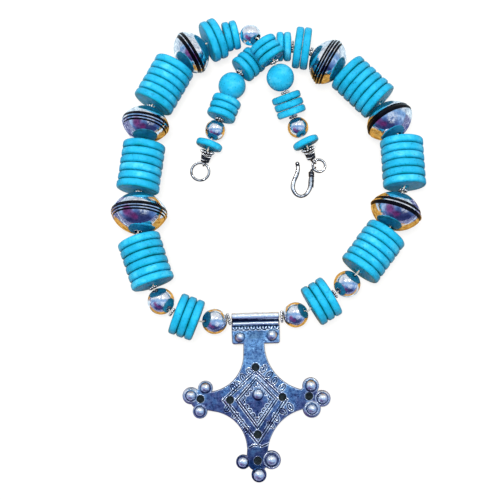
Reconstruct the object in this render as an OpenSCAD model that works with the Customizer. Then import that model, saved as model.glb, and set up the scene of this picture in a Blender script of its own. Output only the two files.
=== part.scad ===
// A necklace of turquoise discs and silver beads with a silver cross pendant.
// It lies open on a flat surface: z = 0 is that surface, x runs to the right and
// y runs away from the pendant. The origin is the middle of the footprint.
// All lengths are millimetres.

/* [Stone discs] */
// Diameter of the large discs along the sides and top
large_disc_d = 21.3; // [20:0.1:22]
// Diameter of the three discs next to each inner ball
low_disc_d = 20.6; // [19:0.1:21.5]
// Thickness of a large disc
large_disc_t = 3.9; // [3.4:0.1:4]
// Diameter of the small discs
small_disc_d = 15; // [13:0.1:15.2]
// Thickness of a small disc
small_disc_t = 3.6; // [3:0.05:3.65]
// Rounding of a disc's outer corners
disc_round = 1.3; // [0.5:0.1:1.6]
// Gap between two discs of one stack
disc_gap = 0.15; // [0.12:0.01:0.25]

/* [Balls] */
// Diameter of the two silver balls beside the pendant
inner_ball_d = 12.3; // [11:0.1:12.5]
// Diameter of the second pair of silver balls
second_ball_d = 13; // [12:0.1:13.3]
// Diameter of the small silver balls near the clasp
small_ball_d = 10.4; // [9.5:0.1:10.6]
// Diameter of the turquoise balls
stone_ball_d = 13.8; // [13:0.1:14]

/* [Banded beads] */
// Length of a banded bead as a share of its diameter
bead_slim = 0.69; // [0.6:0.01:0.7]
// Half of the angle by which the two halves of a banded bead meet at the belt
bead_ridge = 20; // [8:1:26]
// Radius of the flat around each end of a banded bead's bore
bead_end_r = 3.2; // [2.8:0.1:3.6]
// Depth of the blackened grooves round the belt
groove_depth = 0.3; // [0.15:0.05:0.5]

/* [Thread and spacers] */
// Diameter of the thread
thread_d = 0.8; // [0.6:0.1:1]
// Bore of a stone disc
disc_bore = 3.2; // [2.8:0.1:3.3]
// Bore of a silver bead or ball
silver_bore = 3.4; // [3:0.1:3.6]
// Diameter of a spacer ring
spacer_d = 4.4; // [4:0.1:4.8]
// Diameter of the wider daisy spacers
daisy_d = 6; // [5:0.1:6.4]
// Thickness of a spacer ring
spacer_t = 0.9; // [0.7:0.05:1]
// Bore of a spacer ring
spacer_bore = 2.4; // [2:0.1:2.5]
// Diameter of the two rings beside the bail tube
tube_ring_d = 5.8; // [5:0.1:6]
// Thickness of those two rings
tube_ring_t = 1.2; // [0.8:0.05:1.2]

/* [Pendant] */
// Thickness of the pendant's plate
plate_t = 2.4; // [2:0.1:3]
// Outer diameter of the bail tube
tube_d = 3.8; // [3.4:0.1:4.4]
// Bore of the bail tube
tube_bore = 2.4; // [2:0.1:2.6]
// Length of the bail tube
tube_l = 23; // [20:0.5:23.4]
// Height of the bail tube's axis above the surface
tube_z = 5.8; // [5:0.1:6.2]
// Diameter of the pierced holes
hole_d = 3.5; // [2.5:0.1:3.8]
// Depth of the chased lines
chase_depth = 0.25; // [0.1:0.05:0.4]

/* [Clasp] */
// Outer diameter of the plain ring at one end
ring_d = 10.2; // [10.1:0.1:10.5]
// Wire of that ring
ring_wire = 1.2; // [0.9:0.1:1.2]
// Outer diameter of the jump ring that holds the hook
jump_d = 7.6; // [7.4:0.1:8]
// Wire of the jump ring
jump_wire = 1.2; // [0.9:0.1:1.2]
// Width of the hook's flattened wire
hook_w = 1.9; // [1.6:0.1:2]
// Thickness of the hook's flattened wire
hook_t = 1.3; // [1.1:0.1:1.4]

/* [Hidden] */
$fn = 48;
STONE = "deepskyblue";
SILVER = "silver";
CORD = "whitesmoke";

// Belts of the banded beads: distance of a groove's middle from the equator, and its width
BELT_TYPICAL = [[0.2, 1.6], [-1.3, 0.6], [-2.4, 0.6]];
BELT_DOUBLE = [[1, 1.4], [-1.1, 1.5]];
BELT_BROAD = [[0.3, 3.9]];
BELT_FINE = [[2.05, 0.9], [0.85, 0.9], [-0.85, 0.9], [-2.05, 0.9]];

// Middles of the clasp's two rings on the surface
RING_AT = [-34.4, 38];
JUMP_AT = [25.7, 41.1];
AUTO = undef;

// Columns of the two strand tables below. They run from the pendant to the clasp,
// one row for each group of beads with its middle on the thread at x, y, z.
NAME = 0;   // name of the group's node
KIND = 1;   // what the bead is
COUNT = 2;  // beads in the group
DIAM = 3;   // diameter of a bead
LONG = 4;   // length of a bead along the thread
AT = 5;     // middle of the group
AIM = 6;    // direction in plan of a level group, that and the dip of its far end, or AUTO
NEXT = 7;   // spacer after the group: 0 none, 1 a ring, 2 a wide daisy ring
MORE = 8;   // grooves of a banded bead, or the ring and side that a cone's eye holds

LEFT = [
    ["left_inner_ball", "ball", 1, inner_ball_d, inner_ball_d, [-26.4, -38.8, 6.6], AUTO, 0],
    ["left_low_discs", "disc", 3, low_disc_d, large_disc_t, [-39.7, -37.2, 10.8], AUTO, 1],
    ["left_second_ball", "ball", 1, second_ball_d, second_ball_d, [-52.4, -29.2, 8.5], AUTO, 1],
    ["left_lower_stack", "disc", 6, large_disc_d, large_disc_t, [-59.8, -10.2, 12.1], 108.9, 1],
    ["left_banded_bead_1", "bead", 1, 28.6, 28.6 * bead_slim, [-63.3, 13.4, 14.12], [88.5, 9], 1, BELT_TYPICAL],
    ["left_middle_stack", "disc", 6, large_disc_d, large_disc_t, [-63.1, 37.2, 12], 82.8, 0],
    ["left_banded_bead_2", "bead", 1, 24.8, 24.8 * bead_slim, [-61.3, 59.4, 12.26], [80, 9], 1, BELT_TYPICAL],
    ["left_upper_stack", "disc", 6, large_disc_d, large_disc_t, [-52.5, 80.4, 11.5], 61.8, 0],
    ["left_banded_bead_3", "bead", 1, 23.4, 23.4 * bead_slim, [-38.95, 97.35, 11.75], 33, 0, BELT_DOUBLE],
    ["left_top_discs", "disc", 2, large_disc_d, large_disc_t, [-27.7, 104.4, 11], AUTO, 2],
    ["left_small_pair", "disc", 2, small_disc_d, small_disc_t, [-18.8, 106.9, 10.5], 14, 0],
    ["left_crossing_ball", "ball", 1, small_ball_d, small_ball_d, [-9, 104.6, 16.9], AUTO, 0],
    ["left_crossing_discs", "disc", 3, 14.5, small_disc_t, [-0.6, 95, 20.45], AUTO, 1],
    ["left_stone_ball", "stone", 1, stone_ball_d, stone_ball_d, [6, 83, 14.5], AUTO, 1],
    ["left_small_discs", "disc", 3, small_disc_d, small_disc_t, [10.4, 70.6, 9.1], AUTO, 1],
    ["left_end_ball", "ball", 1, small_ball_d, small_ball_d, [15, 59.4, 6.8], AUTO, 0],
    ["left_end_disc", "disc", 1, 13.5, 3.4, [18.8, 51.4, 6.9], AUTO, 0],
    ["left_cap", "cap", 1, 7.6, 1.3, [20.2, 48.3, 5.5], AUTO, 0],
    ["left_cone", "cone", 1, 4.8, 3.9, [21.2, 45.85, 4.05], AUTO, 0, [JUMP_AT, jump_d, jump_wire, 146]]
];
RIGHT = [
    ["right_inner_ball", "ball", 1, inner_ball_d, inner_ball_d, [13, -35.6, 6.6], AUTO, 0],
    ["right_low_discs", "disc", 3, low_disc_d, large_disc_t, [25.3, -29.5, 10.8], AUTO, 1],
    ["right_second_ball", "ball", 1, second_ball_d, second_ball_d, [38.1, -20.7, 8.5], AUTO, 0],
    ["right_lower_stack", "disc", 6, large_disc_d, large_disc_t, [50.8, -5.2, 12], 53.2, 0],
    ["right_banded_bead_1", "bead", 1, 26, 26 * bead_slim, [62.2, 14.6, 13.2], [70, 4], 1, BELT_DOUBLE],
    ["right_middle_stack", "disc", 6, large_disc_d, large_disc_t, [66.6, 39.3, 12], AUTO, 0],
    ["right_banded_bead_2", "bead", 1, 25.6, 25.6 * bead_slim, [60.4, 61, 12.6], [116, 12], 0, BELT_BROAD],
    ["right_upper_stack", "disc", 6, large_disc_d, large_disc_t, [47.5, 79.2, 11.5], 135, 0],
    ["right_banded_bead_3", "bead", 1, 24.8, 24.8 * bead_slim, [30, 92.1, 12.4], 150, 1, BELT_FINE],
    ["right_top_discs", "disc", 2, large_disc_d, large_disc_t, [17.2, 100.2, 10.85], 172, 2],
    ["right_small_pair", "disc", 2, small_disc_d, small_disc_t, [8, 102.2, 7.9], 180, 0],
    ["right_crossing_ball", "ball", 1, 9.2, 9.2, [-0.7, 98.3, 5.5], AUTO, 0],
    ["right_crossing_discs", "disc", 3, 14.5, small_disc_t, [-9.9, 92.8, 7.6], AUTO, 1],
    ["right_stone_ball", "stone", 1, stone_ball_d, stone_ball_d, [-18.3, 81.4, 7], AUTO, 0],
    ["right_small_discs", "disc", 3, small_disc_d, small_disc_t, [-22.4, 69.2, 7.7], AUTO, 1],
    ["right_end_ball", "ball", 1, small_ball_d, small_ball_d, [-26.8, 58.1, 6.4], AUTO, 0],
    ["right_end_disc", "disc", 1, 13.5, 3.4, [-29.7, 50.2, 6.9], AUTO, 0],
    ["right_cap", "cap", 1, 7.6, 1.3, [-30.7, 46.9, 5.4], AUTO, 0],
    ["right_cone", "cone", 1, 4.8, 3.9, [-31.5, 44.35, 4.05], AUTO, 0, [RING_AT, ring_d, ring_wire, 62]]
];

// Plan of the pendant, seen from its front. Its own x and y start at the middle of
// the cross, and z = 0 is its back.
CROSS_AT = [-5.3, -73.8];   // middle of the cross on the surface
CROSS_TURN = 1.5;           // turn of the cross on the surface
TUBE_MIDDLE = [-0.35, 37.7];
TUBE_RISE = 1.5;            // height of the tube's axis over the pendant's back
FOOT_Y = 41.4;              // reach of the lowest lobe
cross_tilt = asin((tube_z - TUBE_RISE) / (TUBE_MIDDLE.y + FOOT_Y));

// Corners of the cross between its concave sides, from the neck round by the right
CORNERS = [[-6.4, 26], [3.8, 26], [3.9, 21.5], [17, 3.4], [26, 2.5], [26, -6], [18.4, -8.4],
           [5, -22], [5.6, -24.3], [9.5, -28.7], [4, -32],
           [-6, -32], [-8.7, -28.6], [-5.8, -25.5], [-6, -24.5], [-20, -7.8], [-29, -6],
           [-29, 2.5], [-19.8, 2.6], [-6.7, 19.5]];
// Concave sides: both ends of each arc and how far it bows in
HOLLOWS = [[[3.9, 21.5], [17, 3.4], 2.9], [[18.4, -8.4], [5, -22], 2.2],
           [[-6, -24.5], [-20, -7.8], 3.6], [[-19.8, 2.6], [-6.7, 19.5], 3.6]];
// Lobes of the three trefoils: place, radius of the lobe, radius of its dome
LOBES = [[[-25.3, 3.8], 3.5, 2.3], [[-32.3, 0.3], 4.1, 2.5], [[-28.1, -7.2], 3.5, 2.4],
         [[25.5, 3.6], 4, 2.5], [[30.8, -2.6], 4, 2.5], [[25.6, -7.4], 4.3, 2.3],
         [[-8, -31.6], 3.4, 2.5], [[5.6, -31], 4.4, 2.8], [[-0.6, -37.8], 3.6, 2.8]];
// Other domes, with no lobe of their own
DOMES = [[[0, 0], 2.4], [[-8.1, 27.7], 2.2], [[7.6, 28.3], 2.4]];
// Pierced holes: one in each arm and one in the middle of each trefoil
HOLES = [[-0.9, 13.1], [-13.6, -2.2], [11.7, -1.5], [-0.7, -18.9],
         [-27.8, -1.4], [24.5, -1.4], [-1, -31.2]];
TREFOIL_R = 5;              // plate round the hole in the middle of a trefoil
// Chased diamonds: top, right, bottom and left corners
DIAMONDS = [[[-0.9, 11.9], [13.9, -2.8], [-0.6, -23.7], [-17, -2.3]],
            [[-0.9, 10.4], [12.4, -2.8], [-0.6, -21.8], [-15.4, -2.3]],
            [[-0.8, 8.5], [9.2, -2.4], [-0.8, -16.1], [-10.7, -2.4]],
            [[-0.8, 7], [7.8, -2.4], [-0.8, -14.2], [-9.3, -2.4]]];
CHASE_W = 0.35;             // width of a chased line
BAIL_PLATE = [[-12, 24.4], [11.3, 36.6]];   // opposite corners of the plate under the tube

// Clasp
RING_TILT = 5;              // tilt of the plain ring, whose far side lies in its eye
JUMP_TILT = 8;              // tilt of the jump ring
HOOK_SIDE = 212;            // side of the jump ring that the hook's eye holds
EYE_WIRE = 0.7;
EYE_D = 3.1;                // outer diameter of the wire eyes
STEM_D = 1.2;               // rod between a cone and its eye
// Route of the hook's wire, from its eye to the tip
HOOK_ROUTE = [[21.8, 38, 1.5], [21.8, 36.4, 1.4], [21.5, 33.4, 1.1], [21.1, 29.8, 0.9], [19.3, 26.5, 0.7],
              [16.5, 25.2, 0.7], [13.8, 26.5, 0.7], [12.4, 29.6, 0.9], [12.9, 32.9, 1], [14.4, 36.4, 1.1],
              [15.1, 39.6, 1.1], [14.8, 42.1, 1.1]];
HOOK_WRAPS = [[21.8, 37.1, 1.5], [21.8, 36.4, 1.5], [21.8, 35.7, 1.5]];  // wire turns on the shank
WRAP_D = 2.9;

function span(r) = r[COUNT] * r[LONG] + (r[COUNT] - 1) * disc_gap;
function unit(v) = v / norm(v);
// Direction of the thread through group i: from the group before, or the bail tube,
// to the group after
function before(t, i) = i > 0 ? t[i - 1][AT] : on_cross(TUBE_MIDDLE, tube_z);
function aimed(way, dip) = [cos(way) * cos(dip), sin(way) * cos(dip), -sin(dip)];
function heading(t, i) = is_undef(t[i][AIM]) ? unit(t[min(i + 1, len(t) - 1)][AT] - before(t, i))
    : is_list(t[i][AIM]) ? aimed(t[i][AIM][0], t[i][AIM][1])
    : aimed(t[i][AIM], 0);
// Ends of a group's bore, and the stretch inside it where the thread runs straight
function face(t, i, s) = t[i][AT] + heading(t, i) * s * span(t[i]) / 2;
function straight(t, i) = max(0, span(t[i]) / 2 - 0.5);
function threading(t, i) = straight(t, i) < 1.5 ? [t[i][AT]]
    : [t[i][AT] - heading(t, i) * straight(t, i), t[i][AT] + heading(t, i) * straight(t, i)];
function threads(t) = [for (i = [0 : len(t) - 1]) each threading(t, i)];
function backwards(a) = [for (i = [len(a) - 1 : -1 : 0]) a[i]];
function on_cross(p, z) = [CROSS_AT.x + p.x * cos(CROSS_TURN) - p.y * sin(CROSS_TURN),
                           CROSS_AT.y + p.x * sin(CROSS_TURN) + p.y * cos(CROSS_TURN), z];
// Point on the tube's axis, at the left or right end and some way inside it
function tube_end(side, inside) = on_cross(TUBE_MIDDLE + [side * (tube_l / 2 - inside), 0], tube_z);
THREAD_ROUTE = concat(backwards(threads(LEFT)),
    [tube_end(-1, 1), tube_end(1, 1)],
    threads(RIGHT));

// One point of a smooth curve through a, b, c, d, at a share k of the way from b to c
function smooth(a, b, c, d, k) = 0.5 * (2 * b + (c - a) * k + (2 * a - 5 * b + 4 * c - d) * k * k
    + (3 * b - a - 3 * c + d) * k * k * k);
function along(p, i) = p[max(0, min(i, len(p) - 1))];
function smoothed(p, n) = concat([for (i = [0 : len(p) - 2]) for (k = [0 : n - 1])
    smooth(along(p, i - 1), p[i], p[i + 1], along(p, i + 2), k / n)], [p[len(p) - 1]]);

// A solid swept along the points p with an oval section of width w and height h
module sweep(p, w, h, sides) {
    last = len(p) - 1;
    rings = [for (i = [0 : last])
        let (t = unit(along(p, i + 1) - along(p, i - 1)), side = unit(cross(t, [0, 0, 1])), up = cross(side, t))
        for (k = [0 : sides - 1])
            p[i] + side * w / 2 * cos(360 * k / sides) + up * h / 2 * sin(360 * k / sides)];
    walls = [for (i = [0 : last - 1]) for (k = [0 : sides - 1])
        let (a = i * sides + k, b = i * sides + (k + 1) % sides)
        each [[a, b + sides, a + sides], [a, b, b + sides]]];
    ends = [[for (k = [sides - 1 : -1 : 0]) k], [for (k = [0 : sides - 1]) last * sides + k]];
    polyhedron(rings, concat(walls, ends));
}

// Puts its children, made along x, on the thread at p with direction d
module strung(p, d) {
    translate(p)
        rotate([0, -asin(d.z), atan2(d.y, d.x)])
            children();
}

// A drilled disc whose axis is x and whose outer corners are rounded
module drilled_disc(d, t, bore, edge) {
    rotate([0, 90, 0])
        rotate_extrude()
            union() {
                translate([bore / 2, -t / 2])
                    square([d / 2 - edge - bore / 2, t]);
                translate([bore / 2, edge - t / 2])
                    square([(d - bore) / 2, t - 2 * edge]);
                for (s = [-1, 1])
                    translate([d / 2 - edge, s * (t / 2 - edge)])
                        circle(edge);
            }
}

// A ball drilled along x
module drilled_ball(d, bore) {
    rotate([0, 90, 0])
        rotate_extrude()
            intersection() {
                circle(d = d);
                translate([bore / 2, -d / 2])
                    square([d / 2, d]);
            }
}

// A lens shaped hollow bead along x, with blackened grooves round its belt
module banded_bead(d, long, belt) {
    rise = d / 2 - bead_end_r;
    bow = (long * long / 4 + rise * rise) / (2 * (rise * cos(bead_ridge) - long / 2 * sin(bead_ridge)));
    rotate([0, 90, 0])
        rotate_extrude()
            difference() {
                intersection() {
                    intersection_for (s = [-1, 1])
                        translate([d / 2 - bow * cos(bead_ridge), s * bow * sin(bead_ridge)])
                            circle(bow, $fn = 96);
                    translate([silver_bore / 2, -long / 2])
                        square([d / 2, long]);
                }
                for (g = belt)
                    translate([d / 2 - groove_depth, g[0] - g[1] / 2])
                        square([2, g[1]]);
            }
}

// A shallow bead cap: a cup whose rim faces the disc
module bead_cap(d, t) {
    rotate([0, 90, 0])
        rotate_extrude()
            union() {
                translate([silver_bore / 2, -t / 2])
                    square([d / 2 - 0.5 - silver_bore / 2, t]);
                translate([d / 2 - 0.6, -t / 2 + 0.6])
                    circle(0.6);
            }
}

// A cone wound with wire, which takes the thread's end and holds a wire eye
module wound_cone(d, long) {
    turn = long / 5;
    rotate([0, 90, 0])
        rotate_extrude()
            union() {
                translate([0.8, -long / 2])
                    square([d / 2 - turn / 2 - 0.8, long]);
                translate([0, long / 2 - 1.6])
                    square([d / 2 - turn / 2, 1.6]);
                for (k = [0 : 4])
                    translate([d / 2 - turn / 2, -long / 2 + turn * (k + 0.5)])
                        circle(turn / 2);
            }
}

// A round wire ring in its own x, y plane
module wire_ring(d, wire) {
    rotate_extrude()
        translate([(d - wire) / 2, 0])
            circle(d = wire);
}

module bead(r) {
    if (r[KIND] == "ball") color(SILVER) drilled_ball(r[DIAM], silver_bore);
    if (r[KIND] == "stone") color(STONE) drilled_ball(r[DIAM], disc_bore);
    if (r[KIND] == "disc") color(STONE) drilled_disc(r[DIAM], r[LONG], disc_bore, disc_round);
    if (r[KIND] == "bead") color(SILVER) banded_bead(r[DIAM], r[LONG], r[MORE]);
    if (r[KIND] == "cap") color(SILVER) bead_cap(r[DIAM], r[LONG]);
    if (r[KIND] == "cone") color(SILVER) wound_cone(r[DIAM], r[LONG]);
}

// All beads of group i on the strand t, side by side
module group(t, i) {
    r = t[i];
    pitch = r[LONG] + disc_gap;
    for (k = [0 : r[COUNT] - 1])
        strung(r[AT] + heading(t, i) * pitch * (k - (r[COUNT] - 1) / 2), heading(t, i))
            bead(r);
    if (r[KIND] == "cone") {
        e = r[MORE];
        color(SILVER) {
            eye(e[0], e[1], e[2], e[3]);
            rod(r[AT] + heading(t, i) * 1.2, eye_back(e[0], e[1], e[2], e[3]), STEM_D);
        }
    }
}

module spacer(a, b, d, t, way) {
    strung((a + b) / 2, way)
        drilled_disc(d, t, spacer_bore, t * 0.45);
}

// Spacer rings beside the bail tube and in the gaps that a strand's table marks
module spacers(t, side) {
    color(SILVER) {
        spacer(tube_end(side, -0.7), face(t, 0, -1), tube_ring_d, tube_ring_t,
            unit(t[0][AT] - tube_end(side, 0)));
        for (i = [0 : len(t) - 2])
            if (t[i][NEXT] > 0)
                spacer(face(t, i, 1), face(t, i + 1, -1), t[i][NEXT] == 2 ? daisy_d : spacer_d, spacer_t,
                    unit(heading(t, i) + heading(t, i + 1)));
    }
}

module left_spacers() {
    spacers(LEFT, -1);
}

module right_spacers() {
    spacers(RIGHT, 1);
}

module thread() {
    color(CORD)
        sweep(THREAD_ROUTE, thread_d, thread_d, 8);
}

// Circle that hollows one side of the cross: through a and b, bowing in by s
module hollow(a, b, s) {
    half = norm(b - a) / 2;
    r = (half * half + s * s) / (2 * s);
    out = [-(b - a).y, (b - a).x] / (2 * half);
    translate((a + b) / 2 + out * (r - s))
        circle(r, $fn = 120);
}

module cross_outline() {
    difference() {
        polygon(CORNERS);
        for (h = HOLLOWS)
            hollow(h[0], h[1], h[2]);
    }
    for (l = LOBES)
        translate(l[0])
            circle(l[1]);
    for (k = [4 : 6])
        translate(HOLES[k])
            circle(TREFOIL_R);
}

// A chased line from a to b, cut into the front
module chased(a, b) {
    translate([a.x, a.y, plate_t - chase_depth])
        rotate([0, 0, atan2(b.y - a.y, b.x - a.x)])
            translate([0, -CHASE_W / 2, 0])
                cube([norm(b - a), CHASE_W, 1]);
}

// A half ball soldered on the front
module dome(at, r) {
    translate([at.x, at.y, plate_t - 0.2])
        rotate_extrude()
            union() {
                square([r, 0.2]);
                translate([0, 0.2])
                    intersection() {
                        circle(r);
                        square([r, r]);
                    }
            }
}

module cross_blank() {
    difference() {
        linear_extrude(plate_t)
            cross_outline();
        for (h = HOLES)
            translate([h.x, h.y, -1])
                cylinder(d = hole_d, h = plate_t + 2);
        for (d = DIAMONDS)
            for (k = [0 : 3])
                chased(d[k], d[(k + 1) % 4]);
    }
    for (l = LOBES)
        dome(l[0], l[2]);
    for (d = DOMES)
        dome(d[0], d[1]);
}

// Plate under the tube, with a rounded rib along it
module bail_plate() {
    low = BAIL_PLATE[0];
    high = BAIL_PLATE[1];
    linear_extrude(plate_t)
        union() {
            translate([low.x, low.y + 1])
                square([high.x - low.x, high.y - low.y - 1]);
            translate([low.x + 1, low.y])
                square([high.x - low.x - 2, 2]);
            for (x = [low.x + 1, high.x - 1])
                translate([x, low.y + 1])
                    circle(1);
        }
    translate([low.x, high.y - 2, plate_t])
        rotate([0, 90, 0])
            cylinder(d = 1.2, h = high.x - low.x);
}

module pendant_cross() {
    color(SILVER)
        translate([CROSS_AT.x, CROSS_AT.y, FOOT_Y * sin(cross_tilt)])
            rotate([0, 0, CROSS_TURN])
                rotate([cross_tilt, 0, 0])
                    difference() {
                        union() {
                            cross_blank();
                            bail_plate();
                            translate([TUBE_MIDDLE.x, TUBE_MIDDLE.y, TUBE_RISE])
                                rotate([0, 90, 0])
                                    cylinder(d = tube_d, h = tube_l, center = true);
                        }
                        translate([TUBE_MIDDLE.x, TUBE_MIDDLE.y, TUBE_RISE])
                            rotate([0, 90, 0])
                                cylinder(d = tube_bore, h = tube_l + 2, center = true);
                    }
}

// Height of the middle of a tilted ring that rests on the surface
function ring_z(d, wire, tilt) = wire / 2 + (d - wire) / 2 * sin(tilt) + 0.02;

module clasp_ring() {
    color(SILVER)
        translate([RING_AT.x, RING_AT.y, ring_z(ring_d, ring_wire, RING_TILT)])
            rotate([0, 0, RIGHT[len(RIGHT) - 1][MORE][3]])
                rotate([0, -RING_TILT, 0])
                    wire_ring(ring_d, ring_wire);
}

module jump_ring() {
    color(SILVER)
        translate([JUMP_AT.x, JUMP_AT.y, ring_z(jump_d, jump_wire, JUMP_TILT)])
            rotate([0, 0, 180])
                rotate([0, -JUMP_TILT, 0])
                    wire_ring(jump_d, jump_wire);
}

// Side of an eye that faces away from the ring that it holds
function eye_back(at, d, wire, side) = [at.x + (d - wire + EYE_D - EYE_WIRE) / 2 * cos(side),
    at.y + (d - wire + EYE_D - EYE_WIRE) / 2 * sin(side), EYE_D / 2];

module rod(a, b, d) {
    way = unit(b - a);
    translate(a)
        rotate([0, acos(way.z), atan2(way.y, way.x)])
            cylinder(d = d, h = norm(b - a));
}

// A wire eye standing round the wire of a ring of diameter d at the given side
module eye(at, d, wire, side) {
    translate([at.x, at.y, EYE_D / 2])
        rotate([0, 0, side])
            translate([(d - wire) / 2, 0, 0])
                rotate([90, 0, 0])
                    wire_ring(EYE_D, EYE_WIRE);
}

module hook() {
    tip = HOOK_ROUTE[len(HOOK_ROUTE) - 1];
    color(SILVER) {
        sweep(smoothed(HOOK_ROUTE, 3), hook_w, hook_t, 10);
        translate(tip)
            sphere(1.05);
        for (w = HOOK_WRAPS)
            translate(w)
                rotate([90, 0, 0])
                    wire_ring(WRAP_D, 0.75);
        eye(JUMP_AT, jump_d, jump_wire, HOOK_SIDE);
        rod(HOOK_ROUTE[0], eye_back(JUMP_AT, jump_d, jump_wire, HOOK_SIDE), STEM_D);
    }
}

for (t = [LEFT, RIGHT])
    for (i = [0 : len(t) - 1])
        group(t, i);
pendant_cross();
thread();
left_spacers();
right_spacers();
clasp_ring();
jump_ring();
hook();
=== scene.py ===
"""A necklace of turquoise discs and hollow silver beads with a cast silver cross.

It lies open on a pale surface. Lengths are in metres; MM turns millimetres into them.
"""
import bpy, bmesh, math, random
import numpy as np
from mathutils import Matrix, Vector, noise


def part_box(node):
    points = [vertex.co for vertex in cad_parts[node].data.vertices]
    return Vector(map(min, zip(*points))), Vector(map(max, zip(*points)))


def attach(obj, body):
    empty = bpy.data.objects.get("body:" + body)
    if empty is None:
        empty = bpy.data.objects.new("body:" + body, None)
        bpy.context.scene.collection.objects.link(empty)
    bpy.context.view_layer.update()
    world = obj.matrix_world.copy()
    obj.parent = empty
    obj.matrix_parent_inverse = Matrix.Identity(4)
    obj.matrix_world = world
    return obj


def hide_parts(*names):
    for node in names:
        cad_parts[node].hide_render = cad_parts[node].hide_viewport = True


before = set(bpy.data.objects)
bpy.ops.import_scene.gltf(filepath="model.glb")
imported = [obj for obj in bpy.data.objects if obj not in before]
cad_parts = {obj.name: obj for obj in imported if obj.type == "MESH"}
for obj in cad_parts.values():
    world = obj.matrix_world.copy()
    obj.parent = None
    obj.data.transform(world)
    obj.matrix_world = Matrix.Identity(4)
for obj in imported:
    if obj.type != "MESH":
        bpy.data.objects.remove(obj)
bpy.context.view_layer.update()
MM = 0.001


# Turquoise discs
# Flat discs cut from dyed magnesite, sold as turquoise. They are drilled, tumbled until
# the corners are round, and strung face to face, singly or up to six. Painted shade darkens
# the flat faces and the grooves where discs meet, and the tumbling leaves a soft sheen and
# slightly uneven rims.

def linear(code):
    """An sRGB hex colour as linear RGBA."""
    parts = [int(code[i:i + 2], 16) / 255 for i in (1, 3, 5)]
    return [c / 12.92 if c <= 0.04045 else ((c + 0.055) / 1.055) ** 2.4 for c in parts] + [1.0]


def join(node, links):
    """Links sources to a node's inputs. A node as a source stands for its first output in use."""
    for key, source in links.items():
        if hasattr(source, "outputs"):
            source = next(output for output in source.outputs if output.enabled)
        node.id_data.links.new(source, node.inputs[key])


def add(tree, kind, settings={}, links={}):
    """Adds a shader node with its settings and links. A mix is one of colours, and stops are
    the places and colours of a ramp."""
    node = tree.nodes.new("ShaderNode" + kind)
    if kind == "Mix":
        node.data_type = "RGBA"
    for key, value in settings.items():
        if key == "stops":
            while len(node.color_ramp.elements) < len(value):
                node.color_ramp.elements.new(0.5)
            for element, (position, code) in zip(node.color_ramp.elements, value):
                element.position = position
                element.color = linear(code)
        elif isinstance(key, str) and hasattr(node, key):
            setattr(node, key, value)
        else:
            node.inputs[key].default_value = value
    join(node, links)
    return node


def new_material(name, values={}):
    """A material whose shader has these values; its tree, shader and place on the object."""
    material = bpy.data.materials.new(name)
    material.use_nodes = True
    tree = material.node_tree
    tree.nodes.clear()
    shader = add(tree, "BsdfPrincipled", values)
    add(tree, "OutputMaterial", links={"Surface": shader})
    where = add(tree, "TexCoord").outputs["Object"]
    return material, tree, shader, where


def grain(size):
    """Noise scale that gives spots of a size in millimetres."""
    return 1 / (size * MM)


def solids_of(name, toward=None):
    """Middle, axis, half length and radius of each loose solid of a CAD node."""
    bm = bmesh.new()
    bm.from_mesh(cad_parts[name].data)
    bmesh.ops.remove_doubles(bm, verts=bm.verts, dist=0.001 * MM)
    bmesh.ops.triangulate(bm, faces=bm.faces)
    left, found = set(bm.verts), []
    while left:
        queue = [left.pop()]
        group = set(queue)
        while queue:
            new = {v for edge in queue.pop().link_edges for v in edge.verts} - group
            group |= new
            queue += new
        left -= group
        faces = {f for v in group for f in v.link_faces}
        tri = np.array([[v.co[:] for v in f.verts] for f in faces])
        volume = np.linalg.det(tri) / 6
        middle = (volume[:, None] * tri.sum(1) / 4).sum(0) / volume.sum()
        tri = tri - middle
        volume = np.linalg.det(tri) / 6
        corners = np.concatenate([tri, tri.sum(1, keepdims=True)], 1)
        spread = np.einsum("i,ijk,ijl->kl", volume, corners, corners)
        axis = Vector(np.linalg.eigh(spread * np.sign(volume.sum()))[1][:, 0])
        if toward is not None and axis.dot(toward) < 0:
            axis.negate()
        offsets = [v.co - Vector(middle) for v in group]
        along = [o.dot(axis) for o in offsets]
        radius = max((o - axis * a).length for o, a in zip(offsets, along))
        found.append((Vector(middle), axis, (max(along) - min(along)) / 2, radius))
    bm.free()
    return sorted(found, key=lambda s: tuple(s[0]))


def angles(count):
    """Evenly spaced angles, once round."""
    return [2 * math.pi * k / count for k in range(count)]


def spokes(axis, count):
    """Directions square to an axis, evenly spaced round it."""
    across = axis.orthogonal().normalized()
    other = axis.cross(across)
    return [across * math.cos(turn) + other * math.sin(turn) for turn in angles(count)]


def skin(bm, rings, closed=True, marks=None):
    """Joins rings of vertices with faces. marks gives the material number of each stretch."""
    sides = max(len(ring) for ring in rings)
    for i in range(len(rings) - (0 if closed else 1)):
        one, two = rings[i], rings[(i + 1) % len(rings)]
        for k in range(sides):
            j = (k + 1) % sides
            corners = [one[k % len(one)], one[j % len(one)], two[j % len(two)], two[k % len(two)]]
            face = bm.faces.new(list(dict.fromkeys(corners)))
            face.material_index = marks[i] if marks else 0


def turned(bm, spot, profile, sides=64, marks=None, uneven=0.0, closed=True):
    """Adds a lathe turned shape and gives back its rings.

    Its profile is (along the axis, radius) points, and a radius of 0 is one point on the axis.
    uneven is how far the surface strays from true."""
    middle, axis = spot[:2]
    around = spokes(axis, sides)
    rings = []
    for a, r in profile:
        ring = []
        for out in around if r > 0 else around[:1]:
            place = middle + axis * a + out * r
            if uneven:
                place += (out * r + axis * a).normalized() * uneven * noise.noise(place / (4 * MM))
            ring.append(bm.verts.new(place))
        rings.append(ring)
    skin(bm, rings, closed, marks)
    return rings


def shown(name, data):
    """A new object of this data, in the scene."""
    obj = bpy.data.objects.new(name, data)
    bpy.context.scene.collection.objects.link(obj)
    return obj


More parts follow.
